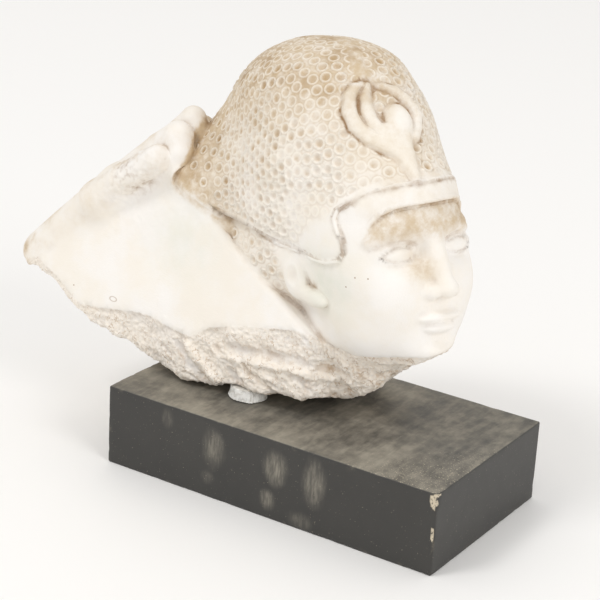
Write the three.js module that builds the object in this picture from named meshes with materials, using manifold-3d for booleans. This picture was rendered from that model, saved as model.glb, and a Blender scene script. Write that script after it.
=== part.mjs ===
// Plaster cast of a fragment: a king's head in the ringed blue crown, the right hand that lies
// on the back of the crown, and the smooth stone left standing between them. The cast is broken
// off roughly below and stands on a black painted wooden plinth, set in a patch of filler.
// Millimetres, +Z up, +X along the plinth towards the face. The origin is the centre of the
// plinth's underside.
import * as THREE from 'three';
import { mergeVertices } from 'three/addons/utils/BufferGeometryUtils.js';
import Module from 'manifold-3d';

const wasm = await Module();
wasm.setup();

// Plinth
const PLINTH_LENGTH = 180;
const PLINTH_WIDTH = 98;
const PLINTH_HEIGHT = 40;
const PLINTH_CHAMFER = 1.2;
const JOINT_GAP = 0.3;

// Filler patch under the cast
const PLUG_CENTRE = [-32.5, -17];
const PLUG_RADIUS = 8.5;
const PLUG_HEIGHT = 5.6;
const PLUG_LOBES = 5;

// Head: where the point between the ears lies, and how the head is turned
const HEAD_AT = new THREE.Vector3(21, 4, 114);
const HEAD_YAW = -21;
const HEAD_PITCH = 16;
const FACE_SCALE = 1.05;

// Sloping faces of the stone and the break, as a point on the face and its outward normal
const NEAR_FACE = { at: [5, -24.5, 92], normal: [-0.041, -0.975, 0.228] };
const FAR_FACE = { at: [0, 46, 92], normal: [-0.128, 0.98, 0.2] };
const HAND_SLOPE = { at: [-120, 0, 117], normal: [-0.67, 0, 0.74] };
const NAPE_SLOPE = { at: [-49.2, -16.5, 116.7], normal: [0.509, 0.26, 0.821] };
const WRIST_END = { at: [-179, 0, 74], normal: [-0.9, 0, -0.42] };
const BREAK_FLOOR = { at: [0, 0, 41.4], normal: [0, 0, -1] };
const BREAK_LEFT = { at: [-98, 0, 42], normal: [-0.5, 0, -0.866] };
const WRIST_UNDERSIDE = { at: [0, 0, 73.5], normal: [0, 0, -1] };
const BREAK_RIGHT = { at: [16, 0, 47], normal: [0.63, 0, -0.77] };
const BREAK_FOOT = { at: [-30, -8, 42], normal: [0.13, -0.28, -0.95] };
const BREAK_HEEL = { at: [-81, -24, 45.5], normal: [-0.28, -0.12, -0.95] };
const BREAK_FAR = { at: [0, 46, 74], normal: [-0.12, 0.93, -0.36] };
const BREAK_ROUGHNESS = 1.3;

// The line along the near side where the smooth stone breaks off, as [along, height] points.
// Below it the break leans inward, and it leans more from the neck on.
const BREAK_LINE = [
  [-160, 81], [-143, 72.5], [-128, 64.5], [-115, 65.7], [-100, 68.2], [-86, 70.1], [-74.5, 67.8],
  [-61, 65.6], [-50, 72.7], [-40, 75.8], [-30, 79], [-12, 82.2], [5.4, 85], [15, 80.6], [28, 79],
  [38, 81.5], [45, 83], [52, 84.5], [60, 86],
];
const BREAK_STEP = 0.8;
const BREAK_LEAN = 0.3;
const NECK_RANGE = [4, 18];
const NECK_LEAN = 0.34;
const NECK_STEP = 5.5;

// How closely the facets follow each area, the longest edge there, and how often one is halved
const FACE_FACETS = { tolerance: 0.6, longest: 7.2 };
const CARVED_FACETS = { tolerance: 0.7, longest: 5 };
const HAND_FACETS = { tolerance: 1, longest: 12 };
const BODY_FACETS = { tolerance: 1.6, longest: 30 };
const BREAK_FACETS = { tolerance: 2.3, longest: 20 };
const EDGE_REACH = 2.4;
const HAND_DEPTH = 12;
const HALVINGS = 5;
const FARTHEST = 150;
const BISECTIONS = 18;

// The small ellipsoids from which the two halves of the cast are carried out to their surface
const HEAD_CORE = { centre: [19, 4.5, 117], radii: [2, 2, 2], detail: 6 };
const STONE_CORE = { centre: [-75, 8, 92], radii: [85, 9, 30], detail: 5 };

// Forms as distance functions: negative inside, positive outside
const sub = (p, q) => [p[0] - q[0], p[1] - q[1], p[2] - q[2]];
const dot = (p, q) => p[0] * q[0] + p[1] * q[1] + p[2] * q[2];
const span = (p) => Math.hypot(p[0], p[1], p[2]);
const clamp = (v, low, high) => Math.min(Math.max(v, low), high);

function join(a, b, blend) {
  const h = Math.max(blend - Math.abs(a - b), 0) / blend;
  return Math.min(a, b) - (h * h * blend) / 4;
}

const cut = (a, b, blend) => -join(-a, -b, blend);

function ball(p, centre, radii) {
  const q = sub(p, centre);
  const near = Math.hypot(q[0] / radii[0], q[1] / radii[1], q[2] / radii[2]);
  const far = Math.hypot(q[0] / radii[0] ** 2, q[1] / radii[1] ** 2, q[2] / radii[2] ** 2);
  return (near * (near - 1)) / Math.max(far, 1e-9);
}

// The point p turned in the side plane about a centre, so that a form there tilts the other way
function tilted(p, centre, degrees) {
  const angle = THREE.MathUtils.degToRad(-degrees);
  const q = sub(p, centre);
  const forward = q[2] * Math.sin(angle) + q[0] * Math.cos(angle);
  const up = q[2] * Math.cos(angle) - q[0] * Math.sin(angle);
  return [centre[0] + forward, centre[1] + q[1], centre[2] + up];
}

function rod(p, a, b, startRadius, endRadius = startRadius) {
  const along = sub(b, a);
  const from = sub(p, a);
  const h = clamp(dot(from, along) / dot(along, along), 0, 1);
  const off = [from[0] - along[0] * h, from[1] - along[1] * h, from[2] - along[2] * h];
  return span(off) - (startRadius + (endRadius - startRadius) * h);
}

function strand(p, points, radii) {
  let d = rod(p, points[0], points[1], radii[0], radii[1]);
  for (let i = 1; i < points.length - 1; i += 1) {
    d = join(d, rod(p, points[i], points[i + 1], radii[i], radii[i + 1]), 0.8);
  }
  return d;
}

function slope(p, face) {
  return dot(sub(p, face.at), face.normal) / span(face.normal);
}

// Signed distance in the side plane to a closed outline of [forward, up] points
function outline(forward, up, points) {
  let nearest = Infinity;
  let side = 1;
  points.forEach((a, i) => {
    const b = points[(i + points.length - 1) % points.length];
    const edge = [b[0] - a[0], b[1] - a[1]];
    const from = [forward - a[0], up - a[1]];
    const h = clamp((from[0] * edge[0] + from[1] * edge[1]) / (edge[0] ** 2 + edge[1] ** 2), 0, 1);
    nearest = Math.min(nearest, Math.hypot(from[0] - edge[0] * h, from[1] - edge[1] * h));
    const tests = [up >= a[1], up < b[1], edge[0] * from[1] > edge[1] * from[0]];
    if (tests.every(Boolean) || !tests.some(Boolean)) side = -side;
  });
  return side * nearest;
}

// Head, in its own axes: [forward, left, up] from the point between the ears. The rims of the
// crown's small rings stand a little proud of it all round.
const RING_RELIEF = 0.5;

// The crown's lower edge runs over the forehead, round the tab before the ear and back to the nape.
const CROWN_EDGE = [
  [60, 38.5], [42, 39], [36, 38], [30, 36], [24, 32.5], [19, 29.5], [17, 26], [18.5, 21], [21, 16],
  [20.8, 11], [17.5, 7.8], [11, 7], [3, 8.3], [-5, 10.5], [-12, 12], [-20, 14.5], [-28, 18.5],
  [-36, 22.5], [-46, 26], [-56, 28.5], [-64, 32.8], [-72, 39.2], [-78, 43], [-84, 46], [-90, 47.5],
  [-120, 50], [-120, 160], [60, 160],
];
const BAND_EDGE = [
  [60, 28.7], [44, 28.7], [40, 28], [36, 25.5], [33, 22], [30, 16], [24, 9], [17, 5], [8, 2],
  [-5, 3], [-14, 8], [-14, 160], [60, 160],
];

function crownForm(q) {
  const bulbCentre = [-21.2, 0, 47.4];
  let d = ball(tilted(q, bulbCentre, -29.4), bulbCentre, [54, 42.8, 36.5]);
  d = join(d, ball(q, [-24.7, 0, 83.1], [35.5, 32.8, 21.1]), 20);
  d = join(d, ball(q, [-51.5, 0, 52.9], [45.3, 33, 46.6]), 20);
  d = join(d, ball(q, [5, 0, 27.9], [39.7, 33.2, 33.3]), 16);
  d = join(d, ball(q, [-79.3, -8, 39.5], [37.1, 41.6, 30.9]), 18);
  return join(d, ball(q, [-38, 0, 25], [50, 42, 30]), 10) - RING_RELIEF;
}

function faceForm(point) {
  const pivot = 18;
  const s = [point[0] / FACE_SCALE, point[1] / FACE_SCALE, (point[2] - pivot) / FACE_SCALE + pivot];
  let d = ball(s, [3, 0, 16], [41.5, 33.5, 38]);
  d = join(d, ball(s, [11, 0, -6], [31, 29, 36]), 10);
  d = join(d, ball(s, [10, 9, -20], [25, 17.5, 18]), 8);
  d = join(d, ball(s, [30, 0, -33], [9.5, 10, 8.5]), 9);
  d = join(d, ball(s, [27, 14.5, -6], [12, 11, 13]), 9);
  d = cut(d, -ball(s, [44.5, 13.5, 9], [7.5, 10, 6]), 7);
  d = join(d, rod(s, [38, 3, 17.5], [30, 25, 16], 3.6, 3), 6);
  d = join(d, ball(s, [31.5, 14, 8.5], [8, 8.5, 5.2]), 2);
  d = join(d, rod(s, [40.5, 0, 14], [47.5, 0, -7.5], 2.8, 4.3), 5);
  d = join(d, ball(s, [43.5, 5.2, -8.5], [4.6, 3.6, 3.4]), 2.5);
  d = join(d, ball(s, [38.5, 3.2, -20], [6.2, 7.5, 2.6]), 2.5);
  d = join(d, ball(s, [38, 0, -25.2], [6, 8.5, 2.9]), 2.5);
  return d * FACE_SCALE;
}

function earForm(s) {
  let d = ball(s, [-17.5, 33.5, -0.5], [7, 4.4, 9.8]);
  d = cut(d, -ball(s, [-16, 38.2, -1], [3.6, 2.6, 6.4]), 1);
  const lobe = [-6, 33, -10.5];
  d = join(d, ball(tilted(s, lobe, 14), lobe, [10, 3.4, 3.4]), 2);
  return cut(d, -ball(s, [-3.5, 35, -5], [2.2, 3, 3.4]), 0.8);
}

// The cobra on the front of the crown: flattened coils, the hood under them and the stump of the
// head, broken off
const COILS = [
  {
    points: [[18.6, -12, 81.9], [17.8, -14.8, 81], [18.1, -18.3, 77.4], [19.9, -20.7, 71],
      [22.9, -20.2, 64.8], [27, -17, 59.1], [31.2, -11.9, 54.9], [34, -7, 53]],
    radii: [1.4, 2.1, 2.7, 3.1, 3.1, 3, 3.2, 3.4],
  },
  {
    points: [[20, -9.8, 81.2], [22.2, -14, 75], [23.9, -15.4, 69.9], [26.4, -14.7, 64.5],
      [28.7, -12.5, 60.7], [31.1, -10, 56.8]],
    radii: [1.3, 2.2, 2.5, 2.5, 2.4, 2.4],
  },
  {
    points: [[24, -6.6, 76.3], [24.6, -9.3, 74], [25.8, -10.8, 70.2], [27.3, -10.7, 66.6],
      [28.9, -9.7, 63]],
    radii: [1, 1.7, 1.9, 1.8, 1.3],
  },
  {
    points: [[21.4, -6, 80.8], [22.4, -2.9, 80], [24, 1.7, 77.7], [25.8, 5.8, 73.2],
      [26.9, 8.4, 69.3], [28.1, 9.3, 65.7], [30.4, 6.8, 61], [32.4, 3.1, 57.5]],
    radii: [1, 1.7, 2.2, 2.6, 2.8, 2.8, 2.8, 3],
  },
];
const HOOD = {
  points: [[31.5, -6.8, 56.5], [35.2, -5.3, 50], [38.2, -5.4, 45], [41.2, -5, 40]],
  radii: [8.4, 4.8, 3.6, 2.4],
};
const COBRA_STUMP = { centre: [29.8, -2.2, 64.3], radii: [4.6, 6, 7.4], tilt: -22 };
const COBRA_RELIEF = 2.1;

function cobraForm(q, crown) {
  const coils = Math.min(...COILS.map((coil) => strand(q, coil.points, coil.radii)));
  const hood = strand(q, HOOD.points, HOOD.radii);
  const flattened = cut(join(coils, hood, 2), crown - COBRA_RELIEF, 1.5);
  const turned = tilted(q, COBRA_STUMP.centre, COBRA_STUMP.tilt);
  return join(flattened, ball(turned, COBRA_STUMP.centre, COBRA_STUMP.radii), 0.8);
}

function headForm(q) {
  const s = [q[0], Math.abs(q[1]), q[2]];
  const crown = crownForm(q);
  const tabbed = join(crown, ball(q, [3.2, 0, 16], [45, 36.6, 41.3]), 4);
  const edge = outline(s[0], s[2], CROWN_EDGE);
  const band = outline(s[0], s[2], BAND_EDGE);
  const tabRim = cut(Math.hypot(edge - 0.9, tabbed + 0.2) - 0.9, -3 - s[0], 2);
  const frontlet = cut(cut(crown - 1, band, 0.8), -edge, 0.5);
  let d = join(faceForm(s), rod(q, [-8, 0, -10], [-24, 0, -50], 28, 27), 8);
  d = join(d, ball(q, [-42, -4, 12], [50, 36.5, 38]), 6);
  d = join(d, frontlet, 0.6);
  d = join(d, tabRim, 0.6);
  d = join(d, cut(tabbed, edge, 0.8), 0.6);
  d = join(d, earForm(s), 1);
  return join(d, cobraForm(q, crown), 1);
}

const headFrame = new THREE.Matrix4()
  .makeTranslation(HEAD_AT.x, HEAD_AT.y, HEAD_AT.z)
  .multiply(new THREE.Matrix4().makeRotationZ(THREE.MathUtils.degToRad(HEAD_YAW)))
  .multiply(new THREE.Matrix4().makeRotationY(THREE.MathUtils.degToRad(-HEAD_PITCH)));
const headFrameBack = headFrame.clone().invert();
const toHead = (p) => new THREE.Vector3(...p).applyMatrix4(headFrameBack).toArray();

// The hand: its back from the broken wrist to the knuckles, then the fingers and the thumb
const HAND_BACK = [
  { points: [[-167, -7, 79], [-128, -10, 116]], radii: [10.5, 9.5] },
  { points: [[-167, 7, 80], [-124, 4, 121]], radii: [12, 11.5] },
  { points: [[-166, 20, 79], [-126, 21, 118]], radii: [10.5, 10] },
];
const FINGERS = [
  { points: [[-128, -13, 116], [-112, -14.5, 130], [-91.5, -14.5, 144.5]], radii: [8.5, 7.4, 6.8] },
  {
    points: [[-124, -2, 122], [-98, -3, 146], [-87, -4, 154], [-84, -6, 147.5], [-86.5, -8, 141]],
    radii: [8.8, 7.6, 7.4, 6.6, 5.6],
  },
  {
    points: [[-123, 9.5, 123], [-100, 9.5, 147], [-88, 9, 160], [-83.5, 8, 155]],
    radii: [8.8, 7.4, 6.2, 5.6],
  },
  {
    points: [[-125, 21.5, 120], [-104, 22, 142], [-92, 22, 152], [-87, 21, 146]],
    radii: [8.4, 7.2, 6.4, 6],
  },
  { points: [[-158, 24, 80], [-134, 34, 95], [-108, 39, 114]], radii: [9, 8.5, 7] },
];

function handForm(p) {
  const back = HAND_BACK.map((bone) => strand(p, bone.points, bone.radii));
  const fingers = FINGERS.map((finger) => strand(p, finger.points, finger.radii));
  const palm = back.reduce((d, bone) => join(d, bone, 8));
  return join(palm, fingers.reduce((d, finger) => join(d, finger, 1.5)), 5);
}

// Ledges of the break: two crossed waves, bent so that no row repeats
function ledges(p) {
  const [x, y, z] = p;
  const long = Math.sin(0.17 * x + 0.1 * y + 0.24 * z + 1.7 * Math.sin(0.063 * x + 0.14 * z + 0.6));
  const bend = 1.9 * Math.sin(0.1 * x - 0.17 * y + 1.1);
  const short = Math.sin(0.29 * x - 0.33 * y - 0.21 * z + 0.8 + bend);
  return BREAK_ROUGHNESS * (0.6 * long + 0.4 * short);
}

function breakForm(p) {
  const left = join(slope(p, BREAK_LEFT), slope(p, WRIST_UNDERSIDE), 4);
  let d = cut(slope(p, BREAK_FLOOR), left, 4);
  d = cut(d, slope(p, BREAK_FOOT), 5);
  d = cut(d, slope(p, BREAK_HEEL), 5);
  d = cut(d, slope(p, BREAK_RIGHT), 4);
  return Math.max(d + ledges(p), PLINTH_HEIGHT + JOINT_GAP - p[2]);
}

function ramp(value, low, high) {
  const t = clamp((value - low) / (high - low), 0, 1);
  return t * t * (3 - 2 * t);
}

function heightAt(line, x) {
  const next = line.findIndex((point) => point[0] >= x);
  if (next < 1) return line[next < 0 ? line.length - 1 : 0][1];
  const [a, b] = [line[next - 1], line[next]];
  return a[1] + ((b[1] - a[1]) * (x - a[0])) / (b[0] - a[0]);
}

function nearBreak(p) {
  const below = heightAt(BREAK_LINE, p[0]) - p[2];
  const atNeck = ramp(p[0], ...NECK_RANGE);
  const lean = (BREAK_LEAN + NECK_LEAN * atNeck) * Math.max(below, 0);
  const inset = BREAK_STEP * ramp(below, 0, 1) + NECK_STEP * atNeck + lean;
  return join(slope(p, NEAR_FACE) + inset + ledges(p) / 2, below, 0.8);
}

function stoneForm(p) {
  let d = cut(slope(p, NEAR_FACE), slope(p, FAR_FACE), 6);
  d = cut(d, slope(p, HAND_SLOPE), 6);
  d = cut(d, slope(p, NAPE_SLOPE), 4);
  d = cut(d, -ball(p, [-92, -66, 108], [72, 46, 44]), 8);
  d = join(d, handForm(p), 6);
  d = cut(d, slope(p, WRIST_END), 7);
  return cut(d, slope(p, BREAK_FAR) + ledges(p), 3);
}

const broken = (d, p) => cut(cut(d, nearBreak(p), 0.8), breakForm(p), 2);
const brokenStone = (p) => broken(stoneForm(p), p);
const brokenHead = (p) => broken(headForm(toHead(p)), p);

// The point where a line from the core, along its normal, leaves the form; found from outside
function surfacePoint(form, core, direction) {
  const start = core.centre.map((c, i) => c + direction[i] * core.radii[i]);
  const normal = direction.map((c, i) => c / core.radii[i]);
  const size = span(normal);
  const at = (r) => start.map((c, i) => c + (normal[i] / size) * r);
  let outside = FARTHEST;
  let d = form(at(outside));
  while (d > 0 && outside > 1) {
    outside -= Math.max(d * 0.6, 0.3);
    d = form(at(outside));
  }
  let inside = outside;
  outside += 0.3 + Math.abs(d);
  for (let i = 0; i < BISECTIONS; i += 1) {
    const middle = (inside + outside) / 2;
    if (form(at(middle)) > 0) outside = middle;
    else inside = middle;
  }
  return at(inside);
}

// A closed mesh of a form seen from its core: an icosahedron's directions are carried out to the
// surface, and an edge is halved where it is too long or its middle lies too far off the surface
function shell(form, core) {
  const start = new THREE.IcosahedronGeometry(1, core.detail);
  start.deleteAttribute('normal');
  start.deleteAttribute('uv');
  const sphere = mergeVertices(start, 1e-5);
  const directions = [];
  const points = [];
  const add = (direction) => {
    directions.push(direction);
    points.push(surfacePoint(form, core, direction));
    return points.length - 1;
  };
  const position = sphere.getAttribute('position');
  for (let i = 0; i < position.count; i += 1) {
    add(new THREE.Vector3().fromBufferAttribute(position, i).normalize().toArray());
  }
  let faces = [];
  for (let i = 0; i < sphere.index.count; i += 3) {
    faces.push([sphere.index.getX(i), sphere.index.getX(i + 1), sphere.index.getX(i + 2)]);
  }
  for (let pass = 0; pass < HALVINGS; pass += 1) {
    const middles = new Map();
    const middleOf = (a, b) => {
      const key = a < b ? `${a},${b}` : `${b},${a}`;
      if (!middles.has(key)) {
        const sum = directions[a].map((c, i) => c + directions[b][i]);
        const direction = sum.map((c) => c / span(sum));
        const chord = points[a].map((c, i) => (c + points[b][i]) / 2);
        const point = surfacePoint(form, core, direction);
        const facets = facetsAt(point);
        const coarse = span(sub(point, chord)) > facets.tolerance
          || span(sub(points[a], points[b])) > facets.longest;
        middles.set(key, coarse ? add(direction) : -1);
      }
      return middles.get(key);
    };
    faces = faces.flatMap((face) => halve(face, middleOf));
  }
  return solidOf(points, faces);
}

// One face cut along the halved ones of its three edges
function halve(face, middleOf) {
  const middles = face.map((vertex, i) => middleOf(vertex, face[(i + 1) % 3]));
  const count = middles.filter((middle) => middle >= 0).length;
  if (count === 0) return [face];
  const turn = count === 1
    ? middles.findIndex((middle) => middle >= 0)
    : (middles.findIndex((middle) => middle < 0) + 1) % 3;
  const [a, b, c] = [0, 1, 2].map((i) => face[(i + turn) % 3]);
  const [ab, bc, ca] = [0, 1, 2].map((i) => middles[(i + turn) % 3]);
  if (count === 1) return [[a, ab, c], [ab, b, c]];
  if (count === 2) return [[a, ab, c], [ab, b, bc], [ab, bc, c]];
  return [[a, ab, ca], [ab, b, bc], [ca, bc, c], [ab, bc, ca]];
}

function solidOf(points, faces) {
  const vertProperties = new Float32Array(points.flat());
  const triVerts = new Uint32Array(faces.flat());
  return new wasm.Manifold(new wasm.Mesh({ numProp: 3, vertProperties, triVerts }));
}

function solidFrom(geometry) {
  geometry.deleteAttribute('normal');
  geometry.deleteAttribute('uv');
  const merged = mergeVertices(geometry, 1e-4);
  return new wasm.Manifold(new wasm.Mesh({
    numProp: 3,
    vertProperties: new Float32Array(merged.getAttribute('position').array),
    triVerts: new Uint32Array(merged.index.array),
  }));
}

function geometryOf(solid) {
  const mesh = solid.getMesh();
  const geometry = new THREE.BufferGeometry();
  geometry.setAttribute('position', new THREE.BufferAttribute(mesh.vertProperties, 3));
  geometry.setIndex(new THREE.BufferAttribute(mesh.triVerts, 1));
  const flat = geometry.toNonIndexed();
  flat.computeVertexNormals();
  return flat;
}

function facetsAt(p) {
  const q = toHead(p);
  const onCobra = q[0] > 12 && q[2] >= 40 && Math.abs(q[1]) < 26;
  const onEdge = q[0] > -12 && Math.abs(outline(q[0], q[2], CROWN_EDGE)) < EDGE_REACH;
  if (onCobra || onEdge) return CARVED_FACETS;
  if (q[0] > 18 && q[2] < 44 && q[2] > -46) return FACE_FACETS;
  if (p[0] < -70 && slope(p, HAND_SLOPE) > -HAND_DEPTH) return HAND_FACETS;
  return p[2] < 84 ? BREAK_FACETS : BODY_FACETS;
}

function plasterCast(plug) {
  const head = shell(brokenHead, HEAD_CORE);
  const stone = shell(brokenStone, STONE_CORE);
  const pieces = head.add(stone).subtract(plug).decompose();
  // Crumbs and sealed voids that the join may leave are smaller than the cast itself
  return geometryOf(pieces.sort((a, b) => b.volume() - a.volume())[0]);
}

function plinth() {
  const inset = PLINTH_CHAMFER;
  const halfLength = PLINTH_LENGTH / 2 - inset;
  const halfWidth = PLINTH_WIDTH / 2 - inset;
  const shape = new THREE.Shape();
  shape.moveTo(-halfLength, -halfWidth);
  shape.lineTo(halfLength, -halfWidth);
  shape.lineTo(halfLength, halfWidth);
  shape.lineTo(-halfLength, halfWidth);
  const geometry = new THREE.ExtrudeGeometry(shape, {
    depth: PLINTH_HEIGHT - 2 * inset,
    bevelSize: inset,
    bevelThickness: inset,
    bevelSegments: 1,
  });
  return geometry.translate(0, 0, inset);
}

// The filler's uneven round outline, wider by the given margin
function plugShape(margin) {
  const steps = 28;
  const points = Array.from({ length: steps }, (unused, i) => {
    const angle = (i / steps) * 2 * Math.PI;
    const reach = PLUG_RADIUS + Math.sin(angle * PLUG_LOBES) + 0.6 * Math.cos(angle * 3) + margin;
    return new THREE.Vector2(reach * 1.15 * Math.cos(angle), reach * Math.sin(angle));
  });
  return new THREE.Shape(points);
}

function fillerPlug(margin) {
  const geometry = new THREE.ExtrudeGeometry(plugShape(margin), {
    depth: PLUG_HEIGHT + margin,
    bevelEnabled: false,
  });
  return geometry.translate(PLUG_CENTRE[0], PLUG_CENTRE[1], PLINTH_HEIGHT + JOINT_GAP);
}

function piece(name, geometry, material) {
  const mesh = new THREE.Mesh(geometry, new THREE.MeshStandardMaterial(material));
  mesh.name = name;
  return mesh;
}

const plugSpace = fillerPlug(JOINT_GAP).translate(0, 0, -JOINT_GAP / 2);
const cast = plasterCast(solidFrom(plugSpace));
const group = new THREE.Group();
group.add(
  piece('plaster_cast', cast, { color: 0xefe6d8, roughness: 0.85, metalness: 0 }),
  piece('plinth', plinth(), { color: 0x2b2c2a, roughness: 0.6, metalness: 0 }),
  piece('filler_plug', fillerPlug(0), { color: 0xf1eee8, roughness: 0.9, metalness: 0 }),
);

export default group;
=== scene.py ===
import itertools
import math

import bmesh
import bpy
import numpy as np
from mathutils import Matrix, Vector, kdtree, noise


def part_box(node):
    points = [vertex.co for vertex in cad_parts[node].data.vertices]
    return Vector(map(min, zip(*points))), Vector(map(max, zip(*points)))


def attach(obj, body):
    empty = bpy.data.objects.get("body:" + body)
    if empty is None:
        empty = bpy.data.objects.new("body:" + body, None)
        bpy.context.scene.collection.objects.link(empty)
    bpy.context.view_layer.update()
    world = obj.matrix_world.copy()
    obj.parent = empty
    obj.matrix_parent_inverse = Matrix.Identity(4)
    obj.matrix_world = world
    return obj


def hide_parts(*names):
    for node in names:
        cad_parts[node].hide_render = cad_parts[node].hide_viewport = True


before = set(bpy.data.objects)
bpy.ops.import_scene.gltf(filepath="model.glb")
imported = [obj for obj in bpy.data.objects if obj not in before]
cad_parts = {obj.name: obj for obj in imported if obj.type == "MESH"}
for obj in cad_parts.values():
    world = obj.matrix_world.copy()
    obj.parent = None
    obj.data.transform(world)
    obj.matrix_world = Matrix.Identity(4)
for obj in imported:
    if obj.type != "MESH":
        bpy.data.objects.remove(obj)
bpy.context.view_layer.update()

# Plaster cast, carving. The whole fragment is one casting: a king's head in the ringed crown, the
# hand on the back of the crown and the stone between them. Its form is a distance function in
# millimetres, negative inside, that the mesh is drawn on to; the head has its own axes.
MM = 0.001


def join(a, b, blend):
    h = np.maximum(blend - np.abs(a - b), 0) / blend
    return np.minimum(a, b) - h * h * blend / 4


def cut(a, b, blend):
    return -join(-a, -b, blend)


def length(v):
    return np.sqrt(np.einsum("...i,...i->...", v, v))


def ball(p, centre, radii):
    q = p - np.array(centre, float)
    near = length(q / np.array(radii, float))
    far = length(q / np.array(radii, float) ** 2)
    return near * (near - 1) / np.maximum(far, 1e-9)


def tilted(p, centre, degrees):
    angle = math.radians(-degrees)
    q = p - np.array(centre, float)
    turned = q.copy()
    turned[..., 0] = q[..., 2] * math.sin(angle) + q[..., 0] * math.cos(angle)
    turned[..., 2] = q[..., 2] * math.cos(angle) - q[..., 0] * math.sin(angle)
    return turned + np.array(centre, float)


def rod(p, a, b, start_radius, end_radius=None):
    end_radius = start_radius if end_radius is None else end_radius
    a, b = np.array(a, float), np.array(b, float)
    h = np.clip((p - a) @ (b - a) / ((b - a) @ (b - a)), 0, 1)
    return length(p - a - h[..., None] * (b - a)) - (start_radius + (end_radius - start_radius) * h)


def strand(p, points, radii, blend=0.8):
    pairs = list(zip(points, points[1:], radii, radii[1:]))
    d = rod(p, *pairs[0])
    for pair in pairs[1:]:
        d = join(d, rod(p, *pair), blend)
    return d


def slope(p, at, normal):
    normal = np.array(normal, float)
    return (p - np.array(at, float)) @ (normal / np.linalg.norm(normal))


def outline(forward, up, points):
    """Signed distance in the side plane to a closed outline of (forward, up) points."""
    nearest = np.full(forward.shape, 1e9)
    side = np.ones(forward.shape)
    for a, b in zip(points, points[-1:] + points[:-1]):
        edge = (b[0] - a[0], b[1] - a[1])
        x, y = forward - a[0], up - a[1]
        h = np.clip((x * edge[0] + y * edge[1]) / (edge[0] ** 2 + edge[1] ** 2), 0, 1)
        nearest = np.minimum(nearest, np.hypot(x - edge[0] * h, y - edge[1] * h))
        above, below, left = up >= a[1], up < b[1], edge[0] * y > edge[1] * x
        side = np.where((above & below & left) | (~above & ~below & ~left), -side, side)
    return side * nearest


HEAD_AT = (21, 4, 114)
HEAD_TURN = Matrix.Rotation(math.radians(-21), 3, "Z") @ Matrix.Rotation(math.radians(-16), 3, "Y")
HEAD_AXES = np.array(HEAD_TURN)


def to_head(p):
    return (p - np.array(HEAD_AT, float)) @ HEAD_AXES


CROWN_EDGE = [
    (60, 38.5), (42, 39), (36, 38), (30, 36), (24, 32.5), (19, 29.5), (17, 26), (18.5, 21), (21, 16),
    (20.8, 11), (17.5, 7.8), (11, 7), (3, 8.3), (-5, 10.5), (-12, 12), (-20, 14.5), (-28, 18.5),
    (-36, 22.5), (-46, 26), (-56, 28.5), (-64, 32.8), (-72, 39.2), (-78, 43), (-84, 46), (-90, 47.5),
    (-120, 50), (-120, 160), (60, 160),
]
BAND_EDGE = [
    (60, 28.7), (44, 28.7), (40, 28), (36, 25.5), (33, 22), (30, 16), (24, 9), (17, 5), (8, 2),
    (-5, 3), (-14, 8), (-14, 160), (60, 160),
]


def crown_form(q):
    bulb = (-21.2, 0, 47.4)
    d = ball(tilted(q, bulb, -29.4), bulb, (54, 42.8, 36.5))
    d = join(d, ball(q, (-24.7, 0, 83.1), (35.5, 32.8, 21.1)), 20)
    d = join(d, ball(q, (-51.5, 0, 52.9), (45.3, 33, 46.6)), 20)
    d = join(d, ball(q, (5, 0, 27.9), (39.7, 33.2, 33.3)), 16)
    d = join(d, ball(q, (-79.3, -8, 39.5), (37.1, 41.6, 30.9)), 18)
    return join(d, ball(q, (-38, 0, 25), (50, 42, 30)), 10)


FACE_SCALE = 1.05


def face_form(point):
    pivot = np.array((0, 0, 18.0))
    s = (point - pivot) / FACE_SCALE + pivot
    d = ball(s, (3, 0, 16), (41.5, 33.5, 38))
    d = join(d, ball(s, (11, 0, -6), (31, 29, 36)), 10)
    d = join(d, ball(s, (10, 9, -20), (25, 17.5, 18)), 8)
    d = join(d, ball(s, (30, 0, -33), (9.5, 10, 8.5)), 9)
    d = join(d, ball(s, (27, 14.5, -6), (12, 11, 13)), 9)
    d = cut(d, -ball(s, (44.5, 13.8, 9), (8.6, 10.4, 6.6)), 6)
    d = join(d, eye_form(s), 1.6)
    fold = ball(s, (31.2, 14.6, 8.6), (10, 11.4, 7.8))
    d = cut(d, 0.6 - np.hypot(np.hypot(fold, d), np.maximum(11.5 - s[..., 2], 0)), 0.6)
    brow = [(39.6, 4, 16), (39.6, 10, 17.8), (36.6, 18, 17.6), (30.4, 26, 14.4)]
    d = join(d, strand(s, brow, [1.7, 2, 1.9, 1], 3), 4)
    d = join(d, rod(s, (40.5, 0, 14), (47, 0, -7), 2.6, 3.6), 5)
    d = join(d, ball(s, (46.6, 0, -7.8), (4.6, 4.4, 4)), 2)
    d = join(d, ball(s, (43, 5, -8.8), (4.2, 3, 3.4)), 2.2)
    d = cut(d, -ball(s, (45.4, 3, -12), (2.6, 1.6, 1.7)), 1)
    return mouth_form(s, d) * FACE_SCALE


def eye_form(s):
    """An almond-shaped opening between two lids, over a smooth eyeball."""
    across, up = s[..., 1] - 14.3, s[..., 2]
    under_upper = np.hypot(across, up - 1.6) - 10.3
    over_lower = np.hypot(across, up - 17.2) - 12.5
    lids = ball(s, (31.2, 14.6, 8.6), (9.2, 10.6, 6.6))
    lids = cut(lids, -np.maximum(under_upper, over_lower), 0.5)
    return join(lids, ball(s, (30.9, 14.3, 8.4), (8.3, 9.4, 5.6)), 0.2)


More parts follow.
